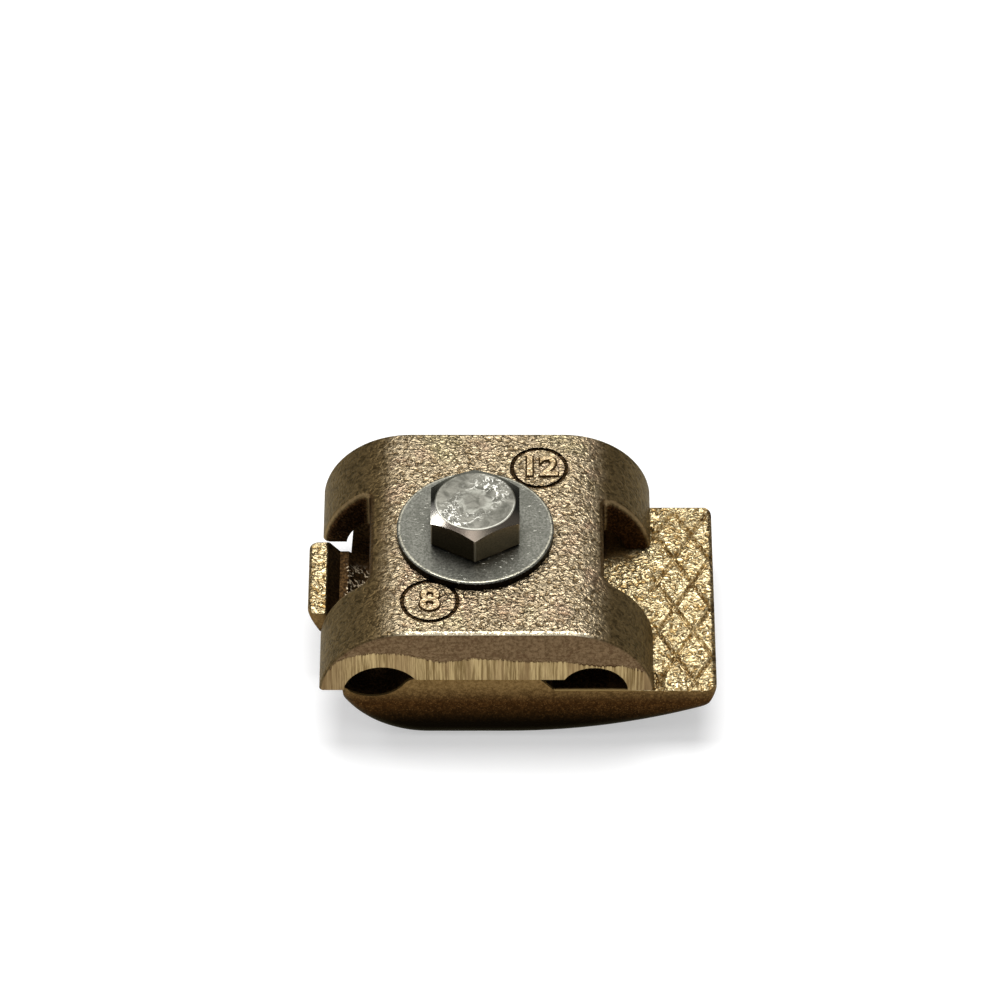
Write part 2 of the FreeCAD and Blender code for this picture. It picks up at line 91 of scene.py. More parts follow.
# Material trees
class Tree:
    """One material's nodes. Values are plain numbers or sockets of other nodes.

    Masks and noises run from 0 to 1, and most of a noise lies between 0.3 and 0.7.
    """

    def __init__(self, name):
        self.material = bpy.data.materials.new(name)
        self.material.use_nodes = True
        self.links = self.material.node_tree.links
        self.all = self.material.node_tree.nodes
        self.all.clear()
        self.output = self.all.new("ShaderNodeOutputMaterial")
        coordinates = self.all.new("ShaderNodeTexCoord")
        scale = self.all.new("ShaderNodeVectorMath")
        scale.operation = "SCALE"
        scale.inputs["Scale"].default_value = 1 / MM
        self.links.new(coordinates.outputs["Object"], scale.inputs[0])
        self.mm = scale.outputs[0]
        split = self.all.new("ShaderNodeSeparateXYZ")
        self.links.new(self.mm, split.inputs[0])
        self.x, self.y, self.z = split.outputs
        geometry = self.all.new("ShaderNodeNewGeometry")
        normal = self.all.new("ShaderNodeSeparateXYZ")
        self.links.new(geometry.outputs["True Normal"], normal.inputs[0])
        self.normal_x, self.normal_y, self.normal_z = normal.outputs

    def put(self, socket, value):
        if isinstance(value, bpy.types.NodeSocket):
            self.links.new(value, socket)
        elif hasattr(value, "__len__") and len(value) == 3 and len(socket.default_value) == 4:
            socket.default_value = (*value, 1.0)
        else:
            socket.default_value = value

    def math(self, operation, *values):
        node = self.all.new("ShaderNodeMath")
        node.operation = operation
        for socket, value in zip(node.inputs, values):
            self.put(socket, value)
        return node.outputs[0]

    def add(self, first, second):
        return self.math("ADD", first, second)

    def less(self, first, second):
        return self.math("SUBTRACT", first, second)

    def times(self, first, second):
        return self.math("MULTIPLY", first, second)

    def most(self, first, second):
        return self.math("MAXIMUM", first, second)

    def size(self, value):
        return self.math("ABSOLUTE", value)

    def outside(self, mask):
        return self.math("SUBTRACT", 1.0, mask)

    def step(self, value, low, high):
        """0 before low, 1 past high, smooth between them; low may be the larger."""
        node = self.all.new("ShaderNodeMapRange")
        node.interpolation_type = "SMOOTHSTEP"
        for name, number in (("Value", value), ("From Min", low), ("From Max", high)):
            self.put(node.inputs[name], number)
        return node.outputs[0]

    def near(self, value, place, far, close):
        """1 within close of a place, 0 beyond far of it."""
        return self.step(self.size(self.less(value, place)), far, close)

    def within(self, value, start, full, last, end):
        """0 before start, 1 from full to last, 0 past end."""
        return self.times(self.step(value, start, full), self.step(value, end, last))

    def reach(self, centre_x, centre_y):
        """Distance from an upright axis."""
        across = self.less(self.x, centre_x)
        along = self.less(self.y, centre_y)
        squares = self.add(self.times(across, across), self.times(along, along))
        return self.math("SQRT", squares)

    def stretched(self, x=1.0, y=1.0, z=1.0, move=(0.0, 0.0, 0.0)):
        """The place, scaled along each axis and moved."""
        node = self.all.new("ShaderNodeMapping")
        self.links.new(self.mm, node.inputs["Vector"])
        node.inputs["Scale"].default_value = (x, y, z)
        node.inputs["Location"].default_value = move
        return node.outputs[0]

    def noise(self, scale, detail=2.0, roughness=0.5, distortion=0.0, vector=None):
        """A smooth noise; scale is about how many of its waves there are in a millimetre."""
        node = self.all.new("ShaderNodeTexNoise")
        self.links.new(self.mm if vector is None else vector, node.inputs["Vector"])
        node.inputs["Scale"].default_value = scale
        node.inputs["Detail"].default_value = detail
        node.inputs["Roughness"].default_value = roughness
        node.inputs["Distortion"].default_value = distortion
        return node.outputs["Fac"]

    def mix(self, share, first, second):
        """Two colours mixed."""
        node = self.all.new("ShaderNodeMix")
        node.data_type = "RGBA"
        self.put(node.inputs[0], share)
        self.put(node.inputs[6], first)
        self.put(node.inputs[7], second)
        return node.outputs[2]

    def mottled(self, noise, low, high, dark, light):
        """Dark where a noise is under low, light where it is over high."""
        return self.mix(self.step(noise, low, high), dark, light)

    def over(self, colour, mask, strength, tone):
        """A colour with some of a tone laid over it where the mask is."""
        return self.mix(self.times(mask, strength), colour, tone)

    def blend(self, share, first, second):
        """Two numbers mixed."""
        node = self.all.new("ShaderNodeMix")
        self.put(node.inputs[0], share)
        self.put(node.inputs[2], first)
        self.put(node.inputs[3], second)
        return node.outputs[0]

    def curve(self, value, points):
        """A smooth curve through points (value, result), with results from 0 to CURVE_RANGE."""
        low, high = points[0][0], points[-1][0]
        span = self.all.new("ShaderNodeMapRange")
        self.put(span.inputs["Value"], value)
        span.inputs["From Min"].default_value = low
        span.inputs["From Max"].default_value = high
        node = self.all.new("ShaderNodeFloatCurve")
        line = node.mapping.curves[0]
        scaled = [((place - low) / (high - low), result / CURVE_RANGE) for place, result in points]
        line.points[0].location = scaled[0]
        line.points[1].location = scaled[-1]
        for place, result in scaled[1:-1]:
            line.points.new(place, result)
        node.mapping.update()
        self.links.new(span.outputs[0], node.inputs["Value"])
        return self.times(node.outputs[0], CURVE_RANGE)

    def bump(self, height, depth, before=None):
        node = self.all.new("ShaderNodeBump")
        node.inputs["Strength"].default_value = 1.0
        node.inputs["Distance"].default_value = depth * MM
        self.put(node.inputs["Height"], height)
        if before is not None:
            self.links.new(before, node.inputs["Normal"])
        return node.outputs[0]

    def shade(self, colour, roughness, normal, edge):
        """A metal; edge is its tint where it is seen at a flat angle."""
        shader = self.all.new("ShaderNodeBsdfPrincipled")
        self.put(shader.inputs["Base Color"], colour)
        self.put(shader.inputs["Roughness"], roughness)
        self.put(shader.inputs["Metallic"], 1.0)
        self.put(shader.inputs["Specular Tint"], edge)
        self.links.new(normal, shader.inputs["Normal"])
        self.links.new(shader.outputs[0], self.output.inputs["Surface"])
        return self.material


def linear(red, green, blue):
    """A colour as it looks on a screen, 0 to 255, turned into light."""
    return tuple(c / 12.92 if c <= 0.04045 else ((c + 0.055) / 1.055) ** 2.4
                 for c in (red / 255, green / 255, blue / 255))


# Colours of the upper jaw
TOP_PIT, TOP_CREST = linear(102, 86, 62), linear(170, 154, 126)
TOP_ROSY = linear(160, 130, 110)
TOP_TARNISH = linear(146, 140, 104)
# Painted highlight along the rounded front top edge of the cap
TOP_RIM_HIGHLIGHT = linear(250, 236, 204)
# Painted shade in the rings' sunk floors and a painted highlight on their lips
RING_FLOOR_SHADE, RING_LIP_HIGHLIGHT = linear(44, 32, 18), linear(190, 170, 134)
# Shoulders: a darker raw cast tone with painted shade
SHOULDER_PIT, SHOULDER_CREST = linear(60, 48, 28), linear(102, 85, 56)
# Painted shade on the waist's rims, the notch walls and the underside
WAIST_SHADE_DARK, WAIST_SHADE_LIGHT = linear(50, 36, 20), linear(88, 68, 42)
# Painted highlight on the rounded rims of the notches
NOTCH_RIM_HIGHLIGHT = linear(142, 120, 86)
NOTCH_SHADE_DARK, NOTCH_SHADE_LIGHT = linear(40, 25, 13), linear(84, 58, 33)
UNDER_SHADE_DARK, UNDER_SHADE_LIGHT = linear(52, 37, 21), linear(106, 82, 50)
END_DARK, END_LIGHT = linear(88, 69, 47), linear(126, 104, 77)
END_BLOTCH = linear(84, 62, 42)
GROUND_DARK, GROUND_LIGHT = linear(112, 92, 58), linear(176, 154, 110)
GROUND_DULL = linear(132, 108, 76)
GROUND_CORNER = linear(104, 82, 57)
GROUND_SEAM = linear(60, 42, 24)

# The ground band's upper line on the end faces, as (x, z) from left to right
GROUND_LINE = (
    (-27.0, 14.0), (-23.6, 16.0), (-21.4, 18.4), (-17.4, 19.6), (-12.4, 19.7), (-8.7, 18.8),
    (-5.6, 17.9), (-1.2, 18.5), (3.3, 18.4), (8.6, 17.9), (13.9, 17.9), (19.2, 17.1),
    (24.0, 16.8), (26.3, 16.1), (28.0, 14.8), (30.0, 13.0), (32.0, 11.0))
CHIP_X = 19.8

# Soft edges at both sides of the middle of the top, as distances from it
TOP_MIDDLE = CAP_CENTRE + 1.1
SHOULDER_EDGE = (14.8, 19.2)
RIM_HIGHLIGHT_EDGE = (16.5, 13.0)
GROUND_CORNER_EDGE = (21.5, 25.5)


# Cast bronze of the upper jaw
def ring_masks(t):
    """The sunk floors of the cast rings, for painted shade, and the lips beside them, for a painted
    highlight.
    """
    floors = 0.0
    lips = 0.0
    for centre_x, centre_y in (REAR_RING, FRONT_RING):
        off = t.size(t.less(t.reach(centre_x, centre_y), RING_RADIUS))
        floors = t.most(floors, t.step(off, RING_HALF_WIDTH + 0.27, RING_HALF_WIDTH + 0.01))
        lips = t.most(lips, t.near(off, RING_HALF_WIDTH + 0.45, 0.3, 0.1))
    return t.times(floors, t.step(t.z, CAP_TOP - 0.03, CAP_TOP - 0.14)), lips


def top_colour(t, grain, off_middle, lips):
    """Bright crests and dull pits, with faint rosy and green patches and a painted highlight along the front
    rim.
    """
    rosy = t.noise(scale=0.16, detail=3.0, roughness=0.6)
    tarnish = t.noise(scale=0.1, vector=t.stretched(move=(40.0, 0.0, 0.0)))
    # Painted highlight: a pale line on the rounded front top edge, where the overhead light catches it
    rim_highlight = t.times(t.step(t.y, CAP_FRONT + 0.8, CAP_FRONT + 0.55), t.step(t.normal_z, 0.3, 0.55))
    rim_highlight = t.times(rim_highlight, t.step(off_middle, *RIM_HIGHLIGHT_EDGE))
    colour = t.mottled(grain, 0.34, 0.6, TOP_PIT, TOP_CREST)
    colour = t.over(colour, t.step(rosy, 0.48, 0.7), 0.4, TOP_ROSY)
    colour = t.over(colour, t.step(tarnish, 0.5, 0.72), 0.35, TOP_TARNISH)
    # Painted highlight on the lips beside the rings
    colour = t.over(colour, lips, 0.5, RING_LIP_HIGHLIGHT)
    return t.over(colour, rim_highlight, 0.8, TOP_RIM_HIGHLIGHT)


def ground_colour(t, streak, off_middle):
    """Upright grinding streaks, duller in broad patches and at both ends of the band."""
    broad = t.noise(scale=1.0, vector=t.stretched(0.5, 1.0, 0.05))
    colour = t.mottled(streak, 0.36, 0.64, GROUND_DARK, GROUND_LIGHT)
    colour = t.over(colour, t.step(broad, 0.45, 0.65), 0.5, GROUND_DULL)
    return t.over(colour, t.step(off_middle, *GROUND_CORNER_EDGE), 0.55, GROUND_CORNER)


def cap_bronze():
    t = Tree("cast_bronze_cap")
    grain = t.noise(scale=1.35, detail=1.2, roughness=0.45, distortion=0.9)
    fine = t.noise(scale=5.0, detail=2.0, roughness=0.6)
    speckle = t.noise(scale=2.2, detail=3.0, roughness=0.7)
    blotch = t.noise(scale=0.9, detail=4.0, roughness=0.7)
    streak = t.noise(scale=1.0, detail=4.0, roughness=0.65, vector=t.stretched(4.0, 1.0, 0.14))
    off_middle = t.size(t.less(t.x, TOP_MIDDLE))
    wander = t.times(t.less(t.noise(scale=0.4), 0.5), 2.4)
    wavy_off_middle = t.add(off_middle, wander)
    shoulder = t.step(wavy_off_middle, *SHOULDER_EDGE)

    # Outer end faces, the walls of the side notches, their rims, and the underside: painted shade on the
    # walls, waist rims and underside, a painted highlight on the notch rims
    tilt = t.size(t.normal_y)
    outer = t.most(t.step(t.y, CAP_FRONT + 0.6, CAP_FRONT + 0.3), t.step(t.y, CAP_REAR - 0.6, CAP_REAR - 0.3))
    inward = t.outside(outer)
    across = t.step(tilt, 0.75, 0.9)
    ends = t.times(across, outer)
    at_waist = t.near(t.x, CAP_CENTRE, WAIST_HALF + 0.5, WAIST_HALF + 0.2)
    waist = t.times(t.step(t.size(t.normal_x), 0.74, 0.92), at_waist)
    waist_rim = t.times(t.step(t.size(t.normal_x), 0.42, 0.6), at_waist)
    notch_walls = t.most(waist, t.times(across, inward))
    notch_rim = t.times(t.within(tilt, 0.2, 0.4, 0.6, 0.78), inward)
    under = t.step(t.normal_z, -0.1, -0.3)

    # Ground band along the parting edge, with a jagged upper line and a chip at the right
    jagged = t.times(t.less(streak, 0.5), 1.6)
    above = t.less(t.z, t.add(t.curve(t.x, GROUND_LINE), jagged))
    ground = t.times(ends, t.step(above, 0.12, -0.05))
    chip = t.near(t.x, CHIP_X, 3.4, 2.8)
    seam = t.times(ends, t.step(t.size(above), 0.26, 0.08))
    seam = t.times(seam, t.most(chip, t.step(speckle, 0.45, 0.6)))

    floors, lips = ring_masks(t)
    colour = top_colour(t, grain, off_middle, lips)
    # The shoulders: a darker raw cast tone, with painted shade where they turn away from the overhead light
    side = t.mottled(t.blend(0.4, grain, speckle), 0.34, 0.62, SHOULDER_PIT, SHOULDER_CREST)
    colour = t.mix(shoulder, colour, side)
    # Painted shade on the rounded rims of the waist
    colour = t.mix(waist_rim, colour, t.mottled(speckle, 0.3, 0.7, WAIST_SHADE_DARK, WAIST_SHADE_LIGHT))
    # Painted highlight on the notch rims
    colour = t.over(colour, notch_rim, 0.6, NOTCH_RIM_HIGHLIGHT)
    end = t.mottled(speckle, 0.3, 0.7, END_DARK, END_LIGHT)
    colour = t.mix(ends, colour, t.over(end, t.step(blotch, 0.5, 0.64), 0.6, END_BLOTCH))
    colour = t.mix(ground, colour, ground_colour(t, streak, wavy_off_middle))
    colour = t.mix(seam, colour, GROUND_SEAM)
    # Painted shade on the notch walls and under the cap
    colour = t.mix(notch_walls, colour, t.mottled(speckle, 0.42, 0.72, NOTCH_SHADE_DARK, NOTCH_SHADE_LIGHT))
    colour = t.mix(under, colour, t.mottled(speckle, 0.36, 0.7, UNDER_SHADE_DARK, UNDER_SHADE_LIGHT))
    # Painted shade in the rings' sunk floors
    colour = t.mix(floors, colour, RING_FLOOR_SHADE)

    roughness = t.blend(shoulder, 0.34, 0.5)
    roughness = t.blend(ends, roughness, 0.55)
    roughness = t.blend(ground, roughness, 0.4)
    coarse = t.times(t.outside(t.most(ground, ends)), t.blend(shoulder, 1.0, 0.5))
    normal = t.bump(t.times(grain, coarse), depth=0.42)
    normal = t.bump(t.times(speckle, t.outside(ground)), 0.04, normal)
    normal = t.bump(t.times(fine, t.outside(ground)), 0.015, normal)
    normal = t.bump(t.times(streak, ground), 0.06, normal)
    return t.shade(colour, roughness, normal, BRONZE_EDGE)


# Colours of the lower jaw
FLANK_DARK, FLANK_LIGHT = linear(94, 72, 40), linear(128, 103, 64)
# Painted highlight along the front top edge
FLANK_RIM_HIGHLIGHT = linear(158, 132, 86)
# Painted shade on the belly, darkest at the foot
BELLY_SHADE_DARK, BELLY_SHADE_LIGHT = linear(48, 28, 9), linear(74, 48, 21)
# Painted glints: light specks
BELLY_GLINT = linear(128, 98, 58)
BELLY_FOOT_SHADE = linear(8, 4, 1)
# A darker raw tone with painted shade between the jaws
INNER_SHADE_DARK, INNER_SHADE_LIGHT = linear(38, 26, 14), linear(88, 66, 40)
# Painted glints on the web
WEB_GLINT = linear(246, 228, 196)
GOLD_PIT, GOLD_CREST = linear(150, 122, 76), linear(226, 206, 160)
GOLD_GROOVE = linear(92, 70, 36)
GOLD_RIM = linear(66, 52, 31)

# Soft edges of the pad's painted light and of the painted shade between the jaws
PAD_EDGE_X = (24.0, 28.6)
NOTCH_EDGE_X = (CAP_CENTRE + WAIST_HALF - 0.8, CAP_CENTRE + WAIST_HALF + 0.2)
NOTCH_LIT_Y = (-12.0, -9.0, 5.4, 8.4)
SHADE_X = (LUG_INNER - 0.2, LUG_INNER + 0.2, 21.0, 22.0)
SHADE_Y = (JAW_FRONT + 0.3, JAW_FRONT + 0.8, JAW_REAR - 0.8, JAW_REAR - 0.3)
SHADE_Z = (6.0, 7.0)
OUTER_WALL_X = (-18.5, -19.5)
WEB_X, WEB_Y = -19.2, 1.6


# Cast bronze of the lower jaw
def inner_mask(t):
    """What lies between the jaws and in the cable groove, without the outer wall at the left; it gets painted
    shade.
    """
    outer_wall = t.times(t.step(t.normal_x, -0.6, -0.85), t.step(t.x, *OUTER_WALL_X))
    shade = t.times(t.within(t.y, *SHADE_Y), t.step(t.z, *SHADE_Z))
    shade = t.times(shade, t.within(t.x, *SHADE_X))
    return t.times(shade, t.outside(outer_wall))


def body_colour(t, speckle, fine, worms):
    """Brown flanks with painted shade towards the foot and, over a darker raw tone, between the jaws; painted
    glints as light specks and on the web; a painted highlight on the front rim.
    """
    level = t.add(t.z, t.times(t.less(speckle, 0.5), 1.2))
    colour = t.mottled(speckle, 0.3, 0.7, FLANK_DARK, FLANK_LIGHT)
    # Painted shade: the belly darkens towards the foot
    shaded_belly = t.mottled(speckle, 0.4, 0.7, BELLY_SHADE_DARK, BELLY_SHADE_LIGHT)
    colour = t.mix(t.step(level, 12.6, 8.0), colour, shaded_belly)
    # Painted glints: light specks over the flanks and belly
    colour = t.over(colour, t.step(fine, 0.58, 0.68), 0.4, BELLY_GLINT)
    colour = t.mix(t.step(level, 8.4, 3.4), colour, BELLY_FOOT_SHADE)
    # Painted glints on the web between the lug and the cap's waist
    web = t.times(t.near(t.y, WEB_Y, 5.6, 2.4), t.near(t.x, WEB_X, 2.4, 1.2))
    web = t.times(web, t.step(t.normal_z, 0.1, 0.3))
    # Between the jaws: a darker raw tone with painted shade
    shaded_inner = t.mottled(speckle, 0.36, 0.7, INNER_SHADE_DARK, INNER_SHADE_LIGHT)
    shaded_inner = t.mix(t.times(web, t.step(worms, 0.54, 0.6)), shaded_inner, WEB_GLINT)
    colour = t.mix(inner_mask(t), colour, shaded_inner)
    # Painted highlight along the top front edge
    rim = t.times(t.step(t.y, JAW_FRONT + 0.5, JAW_FRONT + 0.3), t.step(t.normal_z, 0.3, 0.6))
    return t.mix(rim, colour, FLANK_RIM_HIGHLIGHT)


def gold_colour(t, worms, pad, lug):
    """The bright tops of the grip pad and the lug, with dull grooves and rims."""
    patch = t.step(t.noise(scale=0.25), 0.35, 0.62)
    groove = t.times(pad, t.step(t.z, WING_TOP - 0.2, WING_TOP - 0.42))
    groove = t.times(groove, t.blend(patch, 0.2, 0.85))
    rear_rim = t.times(pad, t.step(t.y, JAW_REAR - 0.5, JAW_REAR - 0.2))
    rims = t.most(t.step(t.x, WING_END - 0.8, WING_END - 0.45), rear_rim)
    rims = t.most(rims, t.times(lug, t.step(t.x, LUG_OUTER + 0.7, LUG_OUTER + 0.3)))
    colour = t.mottled(worms, 0.34, 0.6, GOLD_PIT, GOLD_CREST)
    colour = t.mix(groove, colour, GOLD_GROOVE)
    return t.over(colour, rims, 0.9, GOLD_RIM)


def jaw_bronze():
    t = Tree("cast_bronze_jaw")
    fine = t.noise(scale=4.0, detail=2.5, roughness=0.6)
    speckle = t.noise(scale=2.0, detail=3.0, roughness=0.7)
    worms = t.noise(scale=0.9, detail=1.3, roughness=0.45, distortion=1.7)

    # Painted light: the pad is bright only where light falls on it, past the cap's legs and, in the right
    # notch, up to the cap's waist
    up = t.step(t.normal_z, 0.35, 0.7)
    lit_in_notch = t.times(t.step(t.x, *NOTCH_EDGE_X), t.within(t.y, *NOTCH_LIT_Y))
    pad = t.times(up, t.most(t.step(t.x, *PAD_EDGE_X), lit_in_notch))
    at_lug = t.times(t.step(t.x, LUG_INNER + 0.2, LUG_INNER - 0.2), t.step(t.z, PARTING - 0.9, PARTING - 0.4))
    lug = t.times(up, at_lug)
    bright = t.most(pad, lug)

    colour = t.mix(bright, body_colour(t, speckle, fine, worms), gold_colour(t, worms, pad, lug))
    roughness = t.blend(bright, 0.5, 0.34)
    normal = t.bump(t.times(worms, bright), depth=0.6)
    normal = t.bump(speckle, 0.05, normal)
    normal = t.bump(fine, 0.02, normal)
    return t.shade(colour, roughness, normal, BRONZE_EDGE)


# Colours of the bolt
FACE_DARK, FACE_LIGHT = linear(88, 87, 79), linear(136, 134, 124)
FACE_MIDDLE = linear(196, 196, 184)
FACE_SCUFF = linear(250, 248, 236)
# Painted highlight on the front rim of the head's top
FACE_RIM_HIGHLIGHT = linear(236, 234, 220)
# Painted light and shade on the head's flats and slope by side, with painted highlights on corners and
# chamfer
LEFT_FLAT_SHADE_DARK, LEFT_FLAT_SHADE_LIGHT = linear(66, 59, 46), linear(82, 74, 59)
RIGHT_FLAT_LIT_DARK, RIGHT_FLAT_LIT_LIGHT = linear(142, 130, 107), linear(166, 153, 127)
CORNER_HIGHLIGHT = linear(196, 186, 166)
SLOPE_LEFT_LIT, SLOPE_RIGHT_SHADE = linear(150, 138, 126), linear(116, 108, 97)
SLOPE_REAR_SHADE = linear(66, 66, 60)
SLOPE_HIGHLIGHT = linear(206, 202, 192)

# Rings of the head's round top, the line along which its scuffs lie, and the shank above the thread
MIDDLE_RADIUS = 2.3
SCUFF_RADIUS = 4.6
FACE_RADIUS = 6.5
SCUFF_LINE_SLOPE = 1.15
PLAIN_SHANK = 6.0


# Steel of the bolt
def face_colour(t, scuff, scuffed, from_axis):
    """The round top of the head: scuffed, paler round its middle, with a painted highlight on its front rim.
    """
    middle = t.times(t.near(from_axis, MIDDLE_RADIUS, 0.9, 0.1), t.step(scuff, 0.4, 0.6))
    front_rim_highlight = t.times(t.near(from_axis, FACE_RADIUS, 0.35, 0.15), t.step(t.y, 1.5, -3.0))
    colour = t.mottled(scuff, 0.3, 0.7, FACE_DARK, FACE_LIGHT)
    colour = t.over(colour, middle, 0.35, FACE_MIDDLE)
    colour = t.over(colour, scuffed, 0.9, FACE_SCUFF)
    return t.over(colour, front_rim_highlight, 0.75, FACE_RIM_HIGHLIGHT)


def flats_colour(t, fine, from_axis, chamfer):
    """Painted shade on the left flats, painted light on the right ones and painted highlights on the corners;
    the slope above them has painted light and a glint at front left, painted shade at front right and at the
    rear.
    """
    colour = t.mottled(fine, 0.3, 0.7, LEFT_FLAT_SHADE_DARK, LEFT_FLAT_SHADE_LIGHT)
    right = t.mottled(fine, 0.3, 0.7, RIGHT_FLAT_LIT_DARK, RIGHT_FLAT_LIT_LIGHT)
    colour = t.mix(t.step(t.x, -0.3, 0.3), colour, right)
    colour = t.mix(t.step(from_axis, HEAD_CORNER - 0.15, HEAD_CORNER - 0.05), colour, CORNER_HIGHLIGHT)
    slope = t.mix(t.step(t.x, -1.0, 1.5), SLOPE_LEFT_LIT, SLOPE_RIGHT_SHADE)
    slope = t.mix(t.step(t.y, -1.0, -3.6), SLOPE_REAR_SHADE, slope)
    slope = t.mix(t.times(t.step(t.x, -3.8, -6.2), t.step(t.y, 0.6, -1.4)), slope, SLOPE_HIGHLIGHT)
    return t.mix(chamfer, colour, slope)


def thread_height(t):
    """A right-hand thread, which begins below the plain shank."""
    turns = t.math("DIVIDE", t.math("ARCTAN2", t.y, t.x), 2 * math.pi)
    phase = t.less(t.math("DIVIDE", t.z, THREAD_PITCH), turns)
    start = WASHER_TOP - PLAIN_SHANK
    return t.times(t.math("PINGPONG", phase, 0.5), t.step(t.z, start, start - 0.2))


def bolt_steel():
    t = Tree("steel_bolt")
    scuff = t.noise(scale=0.55, detail=4.0, roughness=0.6, distortion=0.6)
    marks = t.noise(scale=1.1, detail=3.0, roughness=0.6, distortion=1.4)
    fine = t.noise(scale=3.5, detail=3.0, roughness=0.6)
    from_axis = t.reach(0.0, 0.0)
    top = t.step(t.z, HEAD_TOP - 0.12, HEAD_TOP - 0.04)
    chamfer = t.times(t.outside(top), t.step(t.normal_z, 0.2, 0.4))

    # Scuffs lie in a ring, most of them rear right and front left
    along_line = t.near(t.y, t.times(t.x, SCUFF_LINE_SLOPE), 6.5, 1.5)
    zone = t.times(t.near(from_axis, SCUFF_RADIUS, 2.2, 1.2), along_line)
    scuffed = t.times(t.step(marks, 0.5, 0.6), zone)

    face = face_colour(t, scuff, scuffed, from_axis)
    colour = t.mix(top, flats_colour(t, fine, from_axis, chamfer), face)
    roughness = t.blend(top, t.blend(chamfer, 0.3, 0.26), t.blend(fine, 0.3, 0.5))
    normal = t.bump(thread_height(t), depth=1.0)
    normal = t.bump(t.times(scuff, top), 0.08, normal)
    normal = t.bump(t.times(scuffed, top), 0.05, normal)
    normal = t.bump(fine, 0.012, normal)
    return t.shade(colour, roughness, normal, STEEL_EDGE)


# Colours of the washer
WASHER_DARK, WASHER_LIGHT = linear(90, 90, 82), linear(128, 127, 118)
WASHER_DULL = linear(84, 84, 76)
WASHER_SCRATCH = linear(190, 188, 176)
# Painted highlight round the washer's rim
WASHER_RIM_HIGHLIGHT = linear(180, 176, 158)
# Painted shade on the washer's upright side
WASHER_EDGE_SHADE = linear(26, 22, 17)


# Steel of the washer
def washer_steel():
    t = Tree("steel_washer")
    fine = t.noise(scale=3.0, detail=3.0, roughness=0.6)
    wide = t.noise(scale=0.25, detail=3.0)
    scratch = t.noise(scale=1.0, detail=2.0, roughness=0.6, vector=t.stretched(1.1, 3.2, 1.0))
    scratched = t.times(t.step(scratch, 0.61, 0.7), t.step(wide, 0.46, 0.58))
    from_axis = t.reach(0.0, 0.0)
    outer = t.step(from_axis, WASHER_RADIUS - 0.45, WASHER_RADIUS - 0.2)
    # Painted shade on the washer's upright outer side
    edge = t.times(outer, t.step(t.normal_z, 0.35, 0.15))
    # Painted highlight: a pale, broken line round the rounded outer rim
    rim_highlight = t.times(t.near(from_axis, WASHER_RADIUS - 0.35, 0.25, 0.1), t.step(fine, 0.36, 0.5))

    colour = t.mottled(fine, 0.3, 0.7, WASHER_DARK, WASHER_LIGHT)
    colour = t.over(colour, t.step(wide, 0.46, 0.66), 0.5, WASHER_DULL)
    colour = t.over(colour, scratched, 0.85, WASHER_SCRATCH)
    colour = t.over(colour, rim_highlight, 0.7, WASHER_RIM_HIGHLIGHT)
    colour = t.mix(edge, colour, WASHER_EDGE_SHADE)
    roughness = t.blend(wide, 0.26, 0.4)
    normal = t.bump(fine, depth=0.02)
    normal = t.bump(scratched, 0.03, normal)
    return t.shade(colour, roughness, normal, STEEL_EDGE)


def wear(node, material):
    mesh = nodes[node].data
    mesh.materials.clear()
    mesh.materials.append(material)


wear("upper_jaw", cap_bronze())
wear("lower_jaw", jaw_bronze())
wear("hex_bolt", bolt_steel())
wear("flat_washer", washer_steel())

# Numerals inside the cast rings: text, size and place
NUMERALS = (("12", 6.2, REAR_RING), ("8", 6.6, FRONT_RING))
NUMERAL_PIT, NUMERAL_CREST = linear(124, 104, 74), linear(194, 172, 136)
# Colours of the painted shadow round the numerals
SHADOW_SHEET_DARK, SHADOW_SHEET_LIGHT = linear(40, 28, 14), linear(66, 50, 30)
BEVEL_LIMIT = 0.1


# Plain size numerals, raised, each over a thin dark sheet of painted shadow round its strokes
def numeral_bronze():
    t = Tree("cast_bronze_numeral")
    grain = t.noise(scale=1.6, detail=1.4, distortion=0.9)
    colour = t.mottled(grain, 0.34, 0.62, NUMERAL_PIT, NUMERAL_CREST)
    return t.shade(colour, 0.36, t.bump(grain, depth=0.2), BRONZE_EDGE)


def shadow_sheet_bronze():
    # Painted shadow: a thin dark sheet round the numeral's strokes
    t = Tree("cast_bronze_hollow")
    grain = t.noise(scale=1.6, detail=1.4, distortion=0.9)
    colour = t.mix(grain, SHADOW_SHEET_DARK, SHADOW_SHEET_LIGHT)
    return t.shade(colour, 0.6, t.bump(grain, depth=0.1), BRONZE_EDGE)


def numeral(name, text, size, place, widen, thickness, material):
    """A numeral standing on the cap's top; widen makes its strokes that much bolder."""
    curve = bpy.data.curves.new(name, "FONT")
    curve.body = text
    curve.align_x = "CENTER"
    curve.align_y = "CENTER"
    curve.size = size * MM
    curve.offset = widen * MM
    curve.extrude = thickness / 2 * MM
    curve.bevel_depth = min(thickness, BEVEL_LIMIT) / 2 * MM
    curve.bevel_resolution = 1
    shape = bpy.data.objects.new(name, curve)
    shape.location = (place[0] * MM, place[1] * MM, (CAP_TOP + thickness / 2) * MM)
    bpy.context.scene.collection.objects.link(shape)
    bpy.context.view_layer.update()
    mesh = bpy.data.meshes.new_from_object(shape.evaluated_get(bpy.context.evaluated_depsgraph_get()))
    piece = bpy.data.objects.new(name + "_piece", mesh)
    piece.location = shape.location
    bpy.data.objects.remove(shape)
    mesh.materials.clear()
    mesh.materials.append(material)
    bpy.context.scene.collection.objects.link(piece)
    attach(piece, "cap")


